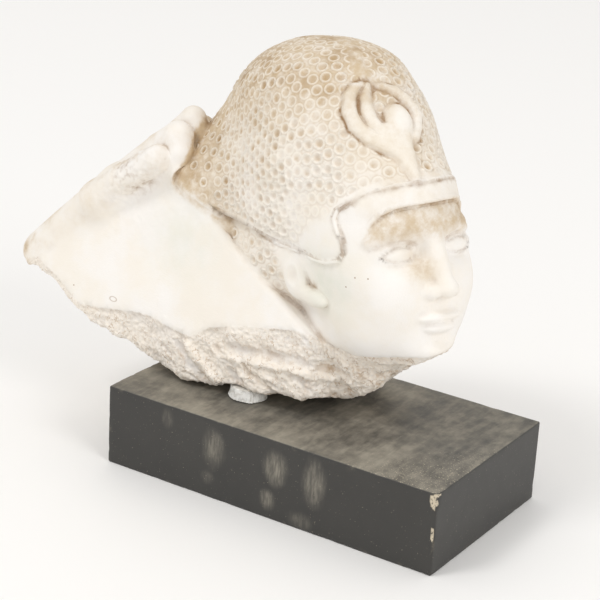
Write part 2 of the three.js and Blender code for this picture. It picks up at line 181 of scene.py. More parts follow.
def mouth_form(s, d):
    d = cut(d, -rod(s, (44, 0, -12.5), (44.6, 0, -17), 1.1, 1.5), 1.5)
    d = cut(d, -ball(s, (41.5, 0, -30.5), (3.4, 8, 2.2)), 4)
    d = join(d, ball(s, (39.3, 3.2, -19.8), (5.2, 6.8, 2.4)), 2.4)
    return join(d, ball(s, (38.8, 0, -24.2), (5.2, 7.9, 2.8)), 1)


def ear_form(s):
    d = ball(s, (-17, 33, -0.5), (7.4, 4.6, 9.8))
    lobe = (-7, 32, -10)
    d = join(d, ball(tilted(s, lobe, 16), lobe, (10.5, 3.2, 4.2)), 5)
    d = cut(d, -ball(s, (-14.5, 38, 0.5), (3.4, 2.8, 5.6)), 1)
    return cut(d, -ball(tilted(s, (-4, 36, -5.2), 30), (-4, 36, -5.2), (4.4, 3.4, 2)), 1)


COILS = [
    ([(18.6, -12, 81.9), (17.8, -14.8, 81), (18.1, -18.3, 77.4), (19.9, -20.7, 71), (22.9, -20.2, 64.8),
      (27, -17, 59.1), (31.2, -11.9, 54.9), (34, -7, 53)], [1.4, 2.1, 2.7, 3.1, 3.1, 3, 3.2, 3.4]),
    ([(20, -9.8, 81.2), (22.2, -13.2, 75.2), (24.1, -14.4, 70), (26.6, -13.7, 64.7), (28.9, -11.5, 60.9),
      (31.2, -9.2, 57)], [1.3, 2.4, 2.9, 2.9, 2.8, 2.6]),
    ([(21.4, -6, 80.8), (22.4, -2.9, 80), (24, 1.7, 77.7), (25.8, 5.8, 73.2), (26.9, 8.4, 69.3),
      (28.1, 9.3, 65.7), (30.4, 6.8, 61), (32.4, 3.1, 57.5)], [1, 1.7, 2.2, 2.6, 2.8, 2.8, 2.8, 3]),
]
HOOD = ([(31.5, -6.8, 56.5), (35.2, -5.3, 50), (38.2, -5.4, 45), (41.2, -5, 40)],
        [8.4, 4.8, 3.6, 2.4])
COBRA_RELIEF = 3.1


def cobra_form(q, crown):
    d = np.full(crown.shape, 1e9)
    for points, radii in COILS:
        d = np.minimum(d, strand(q, points, radii))
    d = cut(join(d, strand(q, *HOOD), 2), crown - COBRA_RELIEF, 1.5)
    stump = (29.8, -2.2, 64.3)
    return join(d, ball(tilted(q, stump, -22), stump, (4.8, 6.8, 8.2)), 0.6)


def cap_form(q):
    """The crown with the tab that lies over the temple."""
    return join(crown_form(q), ball(q, (3.2, 0, 16), (45, 36.6, 41.3)), 4)


def nape_form(q):
    return ball(q, (-42, -4, 12), (50, 36.5, 38))


def head_form(p):
    q = to_head(p)
    s = q * 1
    s[..., 1] = np.abs(s[..., 1])
    crown = crown_form(q)
    cap = cap_form(q)
    edge = outline(s[..., 0], s[..., 2], CROWN_EDGE)
    band = outline(s[..., 0], s[..., 2], BAND_EDGE)
    lift = 1.5 * ramp(q[..., 0], 17, 25)
    rim = cut(np.hypot(edge - 0.8, cap + 0.1 - lift) - 0.85, -62 - s[..., 0], 2)
    frontlet = cut(cut(crown - 1.2, band, 0.8), -edge, 0.5)
    hem = cut(np.hypot(band + 0.9, crown - 1.2) - 0.8, 20 - s[..., 0], 3)
    under_band = np.maximum(np.hypot(band - 0.4, crown - 0.2) - 1, 22 - s[..., 0])
    d = join(face_form(s), rod(q, (-8, 0, -10), (-24, 0, -50), 28, 27), 8)
    d = join(d, nape_form(q), 6)
    d = cut(d, -under_band, 0.6)
    d = join(d, join(frontlet, hem, 0.6), 0.6)
    d = join(d, cut(cap, edge, 0.8), 0.6)
    d = cut(d, 0.7 - np.hypot(edge + 0.9, cap - lift), 0.6)
    d = join(d, rim, 0.5)
    d = join(d, ear_form(s), 1)
    return join(d, cobra_form(q, crown), 1)


HAND_BACK = [
    ([(-167, -7, 79), (-128, -10, 116)], [10.5, 9.5]),
    ([(-167, 7, 80), (-124, 4, 121)], [12, 11.5]),
    ([(-166, 20, 79), (-126, 21, 118)], [10.5, 10]),
]
FINGERS = [
    ([(-128, -13, 116), (-112, -14.5, 130), (-91.5, -14.5, 144.5)], [8.5, 7.4, 6.8]),
    ([(-124, -2, 122), (-98, -3, 146), (-87, -4, 154), (-84, -6, 147.5), (-86.5, -8, 141)],
     [8.8, 7.6, 7.4, 6.6, 5.6]),
    ([(-123, 9.5, 123), (-100, 9.5, 147), (-88, 9, 160), (-83.5, 8, 155)], [8.8, 7.4, 6.2, 5.6]),
    ([(-125, 21.5, 120), (-104, 22, 142), (-92, 22, 152), (-87, 21, 146)], [8.4, 7.2, 6.4, 6]),
    ([(-158, 24, 80), (-134, 34, 95), (-108, 39, 114)], [9, 8.5, 7]),
]


def hand_form(p):
    palm = np.full(p.shape[:-1], 1e3)
    for points, radii in HAND_BACK:
        palm = join(palm, strand(p, points, radii), 8)
    fingers = np.full(p.shape[:-1], 1e3)
    for points, radii in FINGERS:
        fingers = join(fingers, strand(p, points, radii), 1.5)
    return join(palm, fingers, 5)


def ramp(value, low, high):
    t = np.clip((value - low) / (high - low), 0, 1)
    return t * t * (3 - 2 * t)


def ledges(p):
    x, y, z = p[..., 0], p[..., 1], p[..., 2]
    long = np.sin(0.17 * x + 0.1 * y + 0.24 * z + 1.7 * np.sin(0.063 * x + 0.14 * z + 0.6))
    bend = 1.9 * np.sin(0.1 * x - 0.17 * y + 1.1)
    short = np.sin(0.29 * x - 0.33 * y - 0.21 * z + 0.8 + bend)
    return 1.3 * (0.6 * long + 0.4 * short)


SEAT = 40.3
NEAR_PLACE, NEAR_NORMAL = (5, -24.5, 92), (-0.041, -0.975, 0.228)
BREAK_LINE = [
    (-160, 81), (-143, 72.5), (-128, 64.5), (-115, 65.7), (-100, 68.2), (-86, 70.1), (-74.5, 67.8),
    (-61, 65.6), (-50, 72.7), (-40, 75.8), (-30, 79), (-12, 82.2), (5.4, 85), (15, 80.6), (28, 79),
    (38, 81.5), (45, 83), (52, 84.5), (60, 86),
]


def break_form(p):
    left = join(slope(p, (-98, 0, 42), (-0.5, 0, -0.866)), slope(p, (0, 0, 73.5), (0, 0, -1)), 4)
    d = cut(slope(p, (0, 0, 41.4), (0, 0, -1)), left, 4)
    d = cut(d, slope(p, (-30, -8, 42), (0.13, -0.28, -0.95)), 5)
    d = cut(d, slope(p, (-81, -24, 45.5), (-0.28, -0.12, -0.95)), 5)
    d = cut(d, slope(p, (16, 0, 47), (0.63, 0, -0.77)), 4)
    return d + ledges(p)


def below_line(p):
    """Height under the line along the near side where the smooth stone breaks off."""
    heights = np.interp(p[..., 0], *zip(*BREAK_LINE))
    return heights - p[..., 2]


def near_break(p):
    below = below_line(p)
    at_neck = ramp(p[..., 0], 4, 18)
    inset = 0.5 * ramp(below, 0, 1) + (0.3 + 0.34 * at_neck) * np.maximum(below, 0) + 5.5 * at_neck
    inset += 0.13 * np.maximum(p[..., 0] - 18, 0)
    return join(slope(p, NEAR_PLACE, NEAR_NORMAL) + inset + 0.7 * ledges(p), below, 0.8)


def far_break(p):
    return slope(p, (0, 46, 74), (-0.12, 0.93, -0.36)) + ledges(p)


def stone_form(p):
    d = cut(slope(p, NEAR_PLACE, NEAR_NORMAL), slope(p, (0, 46, 92), (-0.128, 0.98, 0.2)), 6)
    d = cut(d, slope(p, (-120, 0, 117), (-0.67, 0, 0.74)), 6)
    d = cut(d, slope(p, (-49.2, -16.5, 116.7), (0.509, 0.26, 0.821)), 4)
    d = cut(d, -ball(p, (-92, -66, 108), (72, 46, 44)), 8)
    d = join(d, hand_form(p), 6)
    d = cut(d, slope(p, (-178.2, 0, 74), (-0.9, 0, -0.42)), 7)
    return cut(d, far_break(p), 3)


# The stone that fills the corner between the near face, the nape and the crown's rim: its two ends
# and its radius
UNDER_RIM = (-79, -7, 135.5), (-46, -6.3, 114.5), 6.5
# The filler under the foot, and the room that the cast leaves round it
PLUG_CENTRE = (-32.5, -17)
PLUG_RADIUS = 9
PLUG_STRETCH = 1.15
PLUG_TOP = 46.3
PLUG_ROOM = 2


def cast_form(p):
    d = join(head_form(p), stone_form(p), 1.5)
    d = join(d, rod(p, *UNDER_RIM), 5)
    d = cut(d, near_break(p), 0.8)
    d = cut(d, break_form(p), 2)
    across, along = (p[..., 0] - PLUG_CENTRE[0]) / PLUG_STRETCH, p[..., 1] - PLUG_CENTRE[1]
    plug = np.hypot(across, along) - PLUG_RADIUS - PLUG_ROOM
    d = np.maximum(d, -np.maximum(plug, p[..., 2] - PLUG_TOP))
    return np.maximum(d, SEAT - p[..., 2])


def gradient(form, p, step=0.08):
    found = np.zeros_like(p)
    for corner in ((1, -1, -1), (-1, -1, 1), (-1, 1, -1), (1, 1, 1)):
        corner = np.array(corner, float)
        found += corner * form(p + corner * step)[..., None]
    return found / np.maximum(length(found), 1e-9)[..., None]


# Plaster cast, mesh. The cast's own solid, with the corner under the crown's rim filled, is remeshed
# finely and drawn on to the carving above. Then the rings are pressed in, the mould's seam is raised
# and the break gets its ridges, cracks and crumbs.
VOXEL = 0.0005
DRAWN_STEPS = 2
# The furthest that one step and the last step move a point, in millimetres
LONGEST_STEP, LAST_STEP = 1.2, 0.4
MOST_TRIANGLES = 196000
# How much thinner the filling starts, and how much longer than wide it is
FILL_SHARE, FILL_STRETCH = 0.95, 3.7


def evaluated(piece):
    """The piece's mesh with its modifiers applied."""
    graph = bpy.context.evaluated_depsgraph_get()
    made = bpy.data.meshes.new_from_object(piece.evaluated_get(graph), depsgraph=graph)
    piece.modifiers.clear()
    old, piece.data = piece.data, made
    bpy.data.meshes.remove(old)


def new_piece(name, bm):
    mesh = bpy.data.meshes.new(name)
    bm.to_mesh(mesh)
    bm.free()
    piece = bpy.data.objects.new(name, mesh)
    bpy.context.scene.collection.objects.link(piece)
    return piece


def vertices_of(mesh):
    flat = np.empty(len(mesh.vertices) * 3, np.float32)
    mesh.vertices.foreach_get("co", flat)
    return flat.reshape(-1, 3).astype(float) / MM


def move_vertices(mesh, points):
    mesh.vertices.foreach_set("co", (points * MM).astype(np.float32).ravel())
    mesh.update()


block = bmesh.new()
block.from_mesh(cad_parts["plaster_cast"].data)
bmesh.ops.remove_doubles(block, verts=block.verts, dist=1e-5)
start, end, radius = [np.array(value) for value in UNDER_RIM]
lean = Vector(end - start).to_track_quat("Z", "Y").to_matrix().to_4x4()
filled = bmesh.ops.create_icosphere(block, subdivisions=4, radius=1)["verts"]
fill_size = Vector((1, 1, FILL_STRETCH)) * float(radius) * FILL_SHARE * MM
bmesh.ops.scale(block, vec=fill_size, verts=filled)
bmesh.ops.transform(block, matrix=lean, verts=filled)
bmesh.ops.translate(block, vec=Vector((start + end) / 2 * MM), verts=filled)
cast = new_piece("cast", block)
remesh = cast.modifiers.new("even mesh", "REMESH")
remesh.mode = "VOXEL"
remesh.voxel_size = VOXEL
evaluated(cast)
points = vertices_of(cast.data)
for step in range(DRAWN_STEPS):
    normals = gradient(cast_form, points)
    points -= normals * np.clip(cast_form(points), -LONGEST_STEP, LONGEST_STEP)[:, None]
points -= normals * np.clip(cast_form(points), -LAST_STEP, LAST_STEP)[:, None]


def scattered(points, size, octaves=3, seed=0):
    """Smooth noise from about -1 to 1, with lumps of the given size in millimetres."""
    total = np.zeros(len(points))
    for octave in range(octaves):
        q = points / size * 2.1 ** octave + 17.3 * (seed + 1) + 5.7 * octave
        cell = np.floor(q).astype(np.int64)
        t = q - cell
        ease = t * t * t * (t * (t * 6 - 15) + 10)
        for corner in itertools.product((0, 1), repeat=3):
            key = (cell + corner) @ np.array((73856093, 19349663, 83492791))
            key = (key ^ (key >> 13)) * 1274126177
            key = (key ^ (key >> 16)) * 668265263
            lean = np.stack([(key >> bits & 255) / 127.5 - 1 for bits in (8, 17, 26)], -1)
            share = np.where(corner, ease, 1 - ease).prod(-1)
            total += 0.5 ** octave * share * (lean * (t - corner)).sum(-1)
    return 1.7 * total


RING_PITCH = 5.9
NAPE_PITCH = 5.1
RING_CENTRE = np.array((-26.0, 0, 44))
# One ring's section, from its middle outward: bowl, rim and the gap to the next, in millimetres
RING_SIZE = 5.7
BOWL_REACH, BOWL_DEPTH = 2.05, 0.95
RIM_REACH, RIM_WIDTH, RIM_HEIGHT = 2.3, 0.36, 0.68
GAP_REACH, GAP_WIDTH, GAP_DEPTH = 2.9, 0.35, 0.25
# Where the crown is rubbed by hands
RUBBED_AT = np.array((6, -34, 20.0))


def ring_pitch(q):
    return RING_PITCH - (RING_PITCH - NAPE_PITCH) * ramp(-q[..., 0], 30, 75)


def on_crown(q):
    for step in range(12):
        away = q - RING_CENTRE
        q = q - away / length(away)[:, None] * np.minimum(crown_form(q), nape_form(q))[:, None]
    return q


def laid_rings():
    """Ring centres in the head's axes: rows round the crown, then eased apart until they fit."""
    seeds = []
    rows = 34
    for row in range(rows):
        angle = math.pi * (row + 0.5) / rows
        around = max(int(2 * math.pi * math.sin(angle) * 50 / RING_PITCH), 3)
        for i in range(around):
            turn = 2 * math.pi * (i + 0.5 * (row % 2)) / around
            flat = math.sin(angle)
            seeds.append((math.cos(angle), flat * math.cos(turn), flat * math.sin(turn)))
    q = on_crown(RING_CENTRE + np.array(seeds) * 55)
    for step in range(24):
        apart = q[:, None, :] - q[None, :, :]
        far = length(apart)
        wanted = (ring_pitch(q)[:, None] + ring_pitch(q)[None, :]) / 2
        push = np.clip(wanted - far, 0, None) / np.maximum(far, 0.1) * 0.22
        np.fill_diagonal(push, 0)
        q = on_crown(q + (apart * push[..., None]).sum(1))
    return q


rings = laid_rings()
ring_depth = 0.4 + 0.6 * ramp(scattered(rings, 16, 2, 1), -0.5, 0.2)
# How much gold each ring's bowl takes, as soiling and as painted shade together
ring_dirt_and_shade = scattered(rings, 3, 2, 2) + 0.5 * scattered(rings, 22, 1, 3)
ring_dirt_and_shade = 0.35 + 0.65 * ramp(ring_dirt_and_shade, -0.3, 0.5)
tree = kdtree.KDTree(len(rings))
for i, centre in enumerate(rings):
    tree.insert(centre, i)
tree.balance()


def tail_strip(q):
    """The cobra's tail, a plain strip that runs back over the top of the crown."""
    middle = -8.5 * (1 - ramp(q[:, 2], 88, 104))
    return np.abs(q[:, 1] - middle) + 100 * ramp(-q[:, 2], -78, -72)


def ring_zone(points):
    """Where rings are carved, from 0 to 1, the distance to the nearest, and which one it is."""
    q = to_head(points)
    crown = crown_form(q)
    edge = outline(q[:, 0], q[:, 2], CROWN_EDGE)
    above = ramp(-edge, 2.0, 3.4) * ramp(-np.abs(crown), -2.0, -1.2)
    nape = ramp(edge, 1.8, 3) * ramp(-np.abs(nape_form(q)), -2.0, -1.2) * ramp(-q[:, 0], 20, 28)
    zone = np.maximum(above, nape)
    zone *= ramp(cobra_form(q, crown), 0.8, 1.8)
    zone *= ramp(tail_strip(q), 3.0, 4.2)
    zone *= ramp(stone_form(points), 0.5, 2)
    reach = np.full(len(points), 9.0)
    which = np.zeros(len(points), int)
    for i in np.nonzero(zone > 0)[0]:
        centre, which[i], reach[i] = tree.find(q[i])
    reach = reach / ring_pitch(q) * RING_SIZE
    return zone, reach, which


def band_at(distance, middle, width):
    """A soft band, 1 at its middle and falling off over its width."""
    return np.exp(-(((distance - middle) / width) ** 2))


def press_rings(points, normals):
    zone, reach, which = ring_zone(points)
    q = to_head(points)
    from_rubbed = length((q - RUBBED_AT) * np.array((1, 0.4, 1)))
    rubbed = 0.35 + 0.65 * ramp(from_rubbed, 6, 26)
    depth = zone * ring_depth[which] * rubbed * (1 - 0.6 * ramp(q[:, 2], 90, 99))
    rim = RIM_HEIGHT * band_at(reach, RIM_REACH, RIM_WIDTH)
    bowl = BOWL_DEPTH * (1 - np.clip(reach / BOWL_REACH, 0, 1) ** 2)
    gap = GAP_DEPTH * band_at(reach, GAP_REACH, GAP_WIDTH)
    return points + normals * (depth * (rim - bowl - gap))[:, None]


SEAM = [
    (23.1, 12.2, 74.8), (26.8, 11.6, 67), (31.3, 7.6, 58), (38, 2, 47), (42.3, -1.3, 39),
    (44.2, -1.8, 32.6), (44.6, -0.7, 26.7), (44, 0, 18), (48, 0, 4), (52, 0, -8), (44, 0, -17),
]


def raise_seam(points, normals):
    """The fine ridge that the mould's joint left down the front, and the tail's plain strip."""
    q = to_head(points)
    near = band_at(strand(q, SEAM, [0] * len(SEAM)), 0, 0.7)
    broken_up = 0.4 + 0.6 * ramp(scattered(points, 5, 2, 4), -0.4, 0.3)
    tail = ramp(-tail_strip(q), -3.0, -2.0) * ramp(q[:, 2], 74, 82)
    tail *= ramp(-np.abs(crown_form(q)), -3, -2)
    return points + normals * (0.38 * near * broken_up + 0.35 * tail)[:, None]


def broken_share(points):
    """How far a point lies on the break, from 0 to 1."""
    near = np.where(below_line(points) > -0.5, near_break(points), -9)
    far = np.where(head_form(points) < 1, -9, far_break(points))
    share = ramp(np.maximum(break_form(points), np.maximum(near, far)), -1.2, 0.1)
    neck = ramp(points[:, 0], 4, 14) * ramp(-points[:, 0], -60, -54)
    return np.maximum(share, neck * ramp(below_line(points), 0.3, 1.5))


# Ridges, hollows and cracks of the break: the points of each, its width and how far it stands out
BREAK_MARKS = [
    ([(-61, -27, 61.7), (-54.3, -25.5, 54.4), (-46.9, -24.8, 48.5), (-41, -24, 43.5)], 2.2, 1.9),
    ([(-66, -27, 60), (-60, -26, 53), (-53, -25, 46.5)], 2.6, -1.3),
    ([(-37, -24.5, 60.8), (-20.8, -24.4, 62.3), (1, -23.9, 64.2), (12.5, -16, 61.8),
      (24, -14.6, 61)], 2, 1.8),
    ([(-38, -25, 65.5), (-21, -25, 67.5), (0, -24, 69.5), (12, -18, 67)], 2.6, -1.5),
    ([(-33, -24, 59), (-18, -23.5, 56.5), (-4, -22, 52.5), (8, -19, 47)], 2, 1.5),
    ([(-30.6, -23.2, 59.7), (-26.9, -23.4, 55.2)], 0.9, -2.4),
    ([(-45.6, -25.5, 64.2), (-44.8, -25.5, 63.6)], 1.1, -1.8),
    ([(2.6, -26, 82), (3.8, -26, 81)], 1.2, -1.6),
    ([(30, -12, 73), (44, -10, 69)], 2.4, 1.6),
    ([(-100, -27, 60), (-84, -27, 62), (-72, -27, 66)], 2.4, -0.9),
]


def break_height(points):
    """How far the rough stone of the break stands out from its plain shape."""
    flow = points @ np.array(((0.4, 0, -0.2), (0, 0.9, 0), (0.45, 0, 0.9))).T
    ridges = 1 - 2.4 * np.abs(scattered(flow, 8, 3, 5))
    lumps = scattered(points, 5, 2, 6)
    crumbs = scattered(points, 1.6, 2, 7)
    deep = ramp(below_line(points), 5, 14)
    height = (0.2 + 0.8 * deep) * (0.5 * ridges + 0.3 * lumps) + 0.5 * crumbs - 0.4
    streaks = np.sin(4.2 * points[:, 0] + 1.5 * scattered(points, 6, 1, 8))
    at_neck = band_at(points[:, 0], 14, 9) * ramp(-np.abs(below_line(points) - 8), -9, -5)
    height += 0.3 * streaks * at_neck
    for places, width, stands in BREAK_MARKS:
        height += stands * band_at(strand(points, places, [0] * len(places)), 0, width)
    return height


def roughen_break(points, normals):
    share = broken_share(points)
    rough = np.nonzero(share > 0)[0]
    moved = points * 1
    moved[rough] += normals[rough] * (break_height(points[rough]) * share[rough])[:, None]
    moved[:, 2] = np.maximum(moved[:, 2], SEAT)
    return moved


# The rough patch on the little finger
FINGER_PATCH = np.array((-104, -14, 136))


def ripple_surface(points, normals):
    smooth = 0.2 * scattered(points, 20, 2, 9) + 0.05 * scattered(points, 4, 2, 10)
    q = points - FINGER_PATCH
    hand = 0.55 * np.exp(-(q[:, 0] ** 2 + q[:, 2] ** 2) / 700) * ramp(-points[:, 1], 8, 16)
    return points + normals * (smooth + hand * scattered(points, 2.6, 3, 11))[:, None]


points = ripple_surface(points, normals)
points = press_rings(points, normals)
points = raise_seam(points, normals)
points = roughen_break(points, normals)
move_vertices(cast.data, points)
thin = cast.modifiers.new("fewer faces", "DECIMATE")
thin.ratio = MOST_TRIANGLES / (2 * len(cast.data.polygons))
evaluated(cast)
for polygon in cast.data.polygons:
    polygon.use_smooth = True


# Plaster cast, finish. Cream plaster, near white on the stone between hand and nape, with a tan
# patina on the crown. Each ring's bowl is gold, partly with soiling and partly as painted shade, and
# the raised edges of the rings and the raised coils are painted lighter as a highlight. Brown painted
# shade lies beside the coils, in every crease, in the hollows of the ear and under the frontlet;
# brown soiling marks the seam and the finger, and brown lines along the crown's edge are partly
# soiling, partly painted shade. Painted grey shade lies on the side of the jaw and on the stone
# between hand and nape. The break is bare and chalky, with painted tan shade in its low spots, more
# of it low down.
class Value:
    """A number in a shader, with the usual operators."""

    def __init__(self, finish, socket):
        self.finish, self.socket = finish, socket

    def maths(self, operation, a, b):
        return self.finish.node("Math", {"operation": operation}, {0: a, 1: b})

    def __add__(self, other):
        return self.maths("ADD", self, other)

    def __sub__(self, other):
        return self.maths("SUBTRACT", self, other)

    def __rsub__(self, other):
        return self.maths("SUBTRACT", other, self)

    def __mul__(self, other):
        return self.maths("MULTIPLY", self, other)

    def __truediv__(self, other):
        return self.maths("DIVIDE", self, other)

    def __pow__(self, other):
        return self.maths("POWER", self, other)

    __radd__ = __add__
    __rmul__ = __mul__

    def between(self, low, high):
        settings = {"interpolation_type": "SMOOTHSTEP"}
        values = {"Value": self, "From Min": low, "From Max": high}
        return self.finish.node("MapRange", settings, values)


class Finish:
    """A material as it is mixed: one method adds any node, and one mixes two colours."""

    def __init__(self, name):
        self.material = bpy.data.materials.new(name)
        self.material.use_nodes = True
        self.tree = self.material.node_tree
        self.shader = self.tree.nodes["Principled BSDF"]

    def feed(self, socket, value):
        if isinstance(value, Value):
            self.tree.links.new(value.socket, socket)
        else:
            socket.default_value = value

    def node(self, kind, settings=None, values=None, output=0):
        made = self.tree.nodes.new("ShaderNode" + kind)
        for name, setting in (settings or {}).items():
            setattr(made, name, setting)
        for name, value in (values or {}).items():
            self.feed(made.inputs[name], value)
        return Value(self, made.outputs[output])

    def mix(self, a, b, share):
        return self.node("Mix", {"data_type": "RGBA"}, {0: share, 6: a, 7: b}, 2)

    def place(self):
        return self.node("TexCoord", output=3)

    def grain(self, size, detail=3.0, roughness=0.5, place=None):
        scale = {"Scale": 1 / size, "Detail": detail, "Roughness": roughness}
        return self.node("TexNoise", None, {"Vector": place or self.place(), **scale})

    def surface(self, **values):
        for name, value in values.items():
            self.feed(self.shader.inputs[name.replace("_", " ")], value)
        return self.material


def tone(red, green, blue):
    """A colour given in the usual 0 to 255, as a shader takes it."""
    shares = [c / 255 for c in (red, green, blue)]
    return (*[s / 12.92 if s < 0.04045 else ((s + 0.055) / 1.055) ** 2.4 for s in shares], 1.0)


# How shut in a point is by the surface round it; it places the painted shade in each crease
def hollowness(points, normals, reach):
    return 1 - np.clip(cast_form(points + normals * reach) / reach, 0, 1)


def store(mesh, name, values):
    layer = mesh.attributes.new(name, "FLOAT", "POINT")
    layer.data.foreach_set("value", values.astype(np.float32))


# The part of the crown above the near ear, which is handled and stays clean
CLEAN_AT, CLEAN_SIZE = np.array((0, -36, 26.0)), np.array((34, 40, 26.0))
# Places of stains and of painted shade in the head's axes, taken to the left side
EAR_HOLLOW, EAR_SHELL = (-3.5, 35, -5.2), (-14.5, 36.5, 0.5)
NOSE_SIDE, CHEEK, MOUTH, JAW = (42, 8, 1), (29, 33, -8), (44, 0, -23), (6, 32, -4)
# The place on the stone between hand and nape that gets painted grey shade
WEB_MIDDLE = (-72, -18, 108)


def spot(points, at, reach):
    """A soft round spot, 1 at its middle and falling off over its reach."""
    return band_at(length(points - np.array(at)), 0, reach)


def store_wear(mesh):
    points = vertices_of(mesh)
    normals = gradient(cast_form, points, 0.4)
    q = to_head(points)
    crown = crown_form(q)
    zone, reach, which = ring_zone(points)
    down = q - rings[which]
    # Gold in each ring's bowl: soiling that gathers on its lower side, with painted shade in the bowl
    # and in the gap round it
    low_side = ramp(-down @ HEAD_AXES[2] - 0.3 * down[:, 0], -0.6, 1.4)
    bowl = (1 - ramp(reach, 1.2, 2.1)) * (0.35 + 0.65 * low_side)
    between = 0.4 * band_at(reach, GAP_REACH, GAP_WIDTH)
    clean = np.exp(-(length((q - CLEAN_AT) / CLEAN_SIZE) ** 2))
    grime_and_shade = ring_dirt_and_shade[which] * (1 - 0.65 * clean) * (1 + 0.4 * ramp(-q[:, 0], 40, 70))
    store(mesh, "bowl_dirt_and_shade", zone * (bowl * grime_and_shade + between * (0.4 + 0.6 * grime_and_shade)))
    edge = outline(q[:, 0], q[:, 2], CROWN_EDGE)
    patchy = 0.35 + 0.65 * ramp(scattered(points, 9, 2, 12), -0.4, 0.4)
    cobra = cobra_form(q, crown)
    # Painted shade: brown on the crown along the foot of the cobra's coils
    beside_cobra = band_at(cobra, 0.9, 0.7) * ramp(q[:, 2], 38, 46)
    beside_cobra *= ramp(-np.abs(crown), -1.6, -0.8)
    # Brown lines in the groove along the crown's edge and under its overhang: partly specks of soiling,
    # partly painted shade
    along_edge = band_at(edge, -1.1, 0.5) + 0.8 * band_at(edge, 1.8, 0.5)
    along_edge *= ramp(-np.abs(crown), -4, -2) * ramp(q[:, 0], -75, -50)
    along_edge *= 0.4 + 0.6 * ramp(-q[:, 0], -14, 4)
    side = q * np.array((1, -1, 1.0))
    # Painted shade: brown in the two carved hollows of the ear
    ear = 0.9 * spot(side, EAR_HOLLOW, 3.6) + 0.5 * spot(side, EAR_SHELL, 3.5)
    band = outline(q[:, 0], q[:, 2], BAND_EDGE)
    # Painted shadow: a brown line under the lower edge of the frontlet, where the band stands out
    under_band = 0.6 * band_at(band, 0.5, 0.7) * ramp(q[:, 0], 22, 28)
    away = points - FINGER_PATCH
    finger = 0.7 * np.exp(-(away[:, 0] ** 2 + away[:, 2] ** 2) / 110)
    finger *= ramp(-points[:, 1], 6, 14) * ramp(scattered(points, 2.4, 2, 15), -0.2, 0.4)
    # Brown marks: painted shade beside the coils, in the ear and under the frontlet, painted shade with
    # specks of soiling along the edge, and real soiling on the finger and the seam
    dirt_and_shade = np.maximum(1.5 * beside_cobra, 0.75 * along_edge)
    dirt_and_shade = np.maximum(dirt_and_shade, np.maximum(ear, under_band))
    seam = 0.6 * band_at(strand(q, SEAM[:8], [0] * 8), 0, 0.6)
    store(mesh, "dirt_and_shade", np.maximum(np.maximum(finger, seam), patchy * dirt_and_shade))
    # Painted highlight: the raised edge of each ring and the raised coils of the cobra are painted
    # lighter
    raised = ramp(crown, 1.2, 2.6) * ramp(-cobra, -0.8, -0.2)
    store(mesh, "rim_highlights", np.maximum(zone * band_at(reach, RIM_REACH, RIM_WIDTH), 0.45 * raised))
    # Painted shade: brown in each crease and hollow, the more the point is shut in
    crease_shade = 0.6 * ramp(hollowness(points, normals, 1.2), 0.1, 0.6)
    crease_shade += 0.4 * ramp(hollowness(points, normals, 4), 0.15, 0.75)
    crease_shade *= 1 - 0.8 * spot(side, MOUTH, 9)
    store(mesh, "crease_shade", np.clip(crease_shade * (0.5 + 0.5 * patchy), 0, 1))
    on_cap = ramp(-edge, -1, 1) * ramp(-np.abs(crown), -5, -3)
    aged = 0.66 + 0.55 * ramp(q[:, 2], 60, 95) + 0.55 * ramp(-q[:, 0], 40, 75)
    patina = on_cap * (aged - 0.95 * clean)
    forehead = ramp(q[:, 0], 20, 36) * ramp(q[:, 2], 6, 20) * (1 - on_cap)
    forehead *= 0.35 + 0.65 * ramp(band, -1, 0.5)
    beside_nose = 0.9 * spot(side, NOSE_SIDE, 9)
    under_rim = 0.9 * ramp(-rod(points, *UNDER_RIM), -2.5, -0.5)
    cheek = 0.4 * spot(side, CHEEK, 6)
    stains = np.maximum(np.maximum(forehead, beside_nose), np.maximum(cheek, under_rim))
    patina = np.maximum(patina, stains)
    # Painted shade: a grey green tint on the side of the jaw and on the stone between hand and nape
    store(mesh, "grey_shade", np.maximum(spot(side, JAW, 17), 0.6 * spot(points, WEB_MIDDLE, 20)))
    outer = ramp(normals @ np.array((-0.67, 0, 0.74)), 0.3, 0.9) * ramp(-points[:, 0], 78, 90)
    outer = np.maximum(0.7 * outer, 1.1 * ramp(-points[:, 0], 158, 172))
    outer = np.maximum(outer, 0.4 * ramp(-hand_form(points), -2, 0))
    patina = np.maximum(patina, outer * patchy)
    nape = ramp(edge, 0, 2) * ramp(-np.abs(nape_form(q)), -3, -1.5) * ramp(-q[:, 0], 18, 26)
    store(mesh, "patina", np.clip(np.maximum(patina, 0.3 * nape), 0, 1.4))
    broken = broken_share(points)
    store(mesh, "broken", broken)
    # Painted shade: tan in the low spots of the break's relief, more of it further down the break
    deep = 0.3 + 0.7 * ramp(below_line(points), 4, 12)
    store(mesh, "hollows", broken * deep * ramp(-break_height(points), 0, 1.4))


store_wear(cast.data)
PLASTER = tone(244, 237, 226)
WEB_WHITE = tone(246, 242, 237)
# Colour of the painted grey shade
SHADE_GREEN_GREY = tone(229, 229, 216)
TAN = tone(208, 186, 153)
BROWN = tone(152, 118, 80)
CHALK = tone(251, 240, 225)
BREAK_TAN = tone(196, 168, 136)
# Colour of the painted highlight on raised edges and coils
HIGHLIGHT_WHITE = tone(248, 240, 226)
GOLD = tone(183, 152, 108)
# Dark pits in the smooth stone, and the ring that a bubble left: x, z, half width and half height
PITS = [(32.3, -33.3, 120.5), (39, -33.6, 121.7), (27.6, -32.5, 114.9), (-133.8, -23.1, 72.9)]
CAST_BUBBLE = (-108.3, 72.3, 2.3, 1.2)


